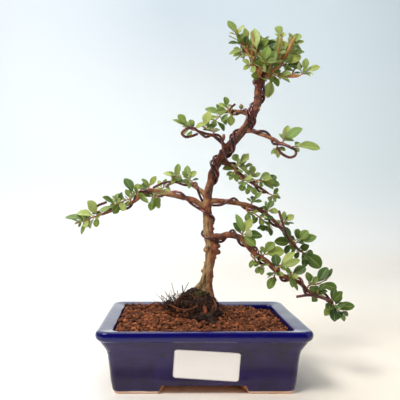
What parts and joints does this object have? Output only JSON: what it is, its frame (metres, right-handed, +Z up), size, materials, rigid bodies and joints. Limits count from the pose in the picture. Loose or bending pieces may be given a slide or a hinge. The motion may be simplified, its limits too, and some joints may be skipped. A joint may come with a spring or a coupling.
{
  "type": "potted bonsai tree",
  "caption": "Small-leaved cotoneaster bonsai with wire-trained branches in a footed oblong glazed pot filled with clay granules.",
  "frame": {"origin": "on the ground under the middle of the whole plant's width and of the pot's depth", "axes": "+Z up, +X along the pot's long side to the right as seen from the front, +Y towards the back"},
  "size_m": [0.256, 0.128, 0.3335],
  "materials": {
    "glaze": "dark cobalt blue gloss glaze, bare tan clay under the feet",
    "netting": "dark green plastic netting",
    "granules": "matt red-brown baked clay granules",
    "peat": "matt dark fibrous peat",
    "bark": "rough brown bark, tan on the lower trunk and orange-brown on young shoots",
    "training_wire": "dark copper-brown anodised, satin",
    "leaf": "satin mid-green leaves with a pale midrib, paler young ones",
    "fruit": "matt green-brown berry",
    "label_paper": "blank white coated paper"
  },
  "bodies": {
    "root": {"pot": "glaze", "drain_mesh": "netting", "soil": "granules", "root_mass": "peat", "wood": "bark", "label": "label_paper", "berry": "fruit", "wire_a_c": "training_wire", "wire_b_d": "training_wire", "wire_h_e": "training_wire", "wire_g_f": "training_wire", "wire_trunk_left": "training_wire", "wire_trunk_right": "training_wire", "spray_low_left_1": "leaf", "spray_low_left_2": "leaf", "spray_low_left_3": "leaf", "spray_low_left_4": "leaf", "spray_low_left_5": "leaf", "spray_back_left_1": "leaf", "spray_back_left_2": "leaf", "spray_back_left_3": "leaf", "spray_low_right_1": "leaf", "spray_low_right_2": "leaf", "spray_low_right_3": "leaf", "spray_low_right_4": "leaf", "spray_low_right_5": "leaf", "spray_low_right_6": "leaf", "spray_low_right_7": "leaf", "spray_low_right_8": "leaf", "spray_mid_right_1": "leaf", "spray_mid_right_2": "leaf", "spray_mid_right_3": "leaf", "spray_mid_right_4": "leaf", "spray_mid_right_5": "leaf", "spray_mid_right_6": "leaf", "spray_mid_right_7": "leaf", "spray_back_right_1": "leaf", "spray_back_right_2": "leaf", "spray_back_right_3": "leaf", "spray_back_right_4": "leaf", "spray_back_right_5": "leaf", "spray_high_right_1": "leaf", "spray_high_right_2": "leaf", "spray_high_right_3": "leaf", "spray_high_left_1": "leaf", "spray_high_left_2": "leaf", "spray_front_left_1": "leaf", "spray_front_left_2": "leaf", "spray_crown_left_1": "leaf", "spray_crown_left_2": "leaf", "spray_crown_left_3": "leaf", "spray_crown_left_4": "leaf", "spray_crown_left_5": "leaf", "spray_crown_twig_1": "leaf", "spray_crown_right_1": "leaf", "spray_crown_right_2": "leaf", "spray_crown_right_3": "leaf", "spray_crown_right_4": "leaf", "spray_crown_right_5": "leaf", "spray_crown_low_1": "leaf"}
  },
  "joints": []
}
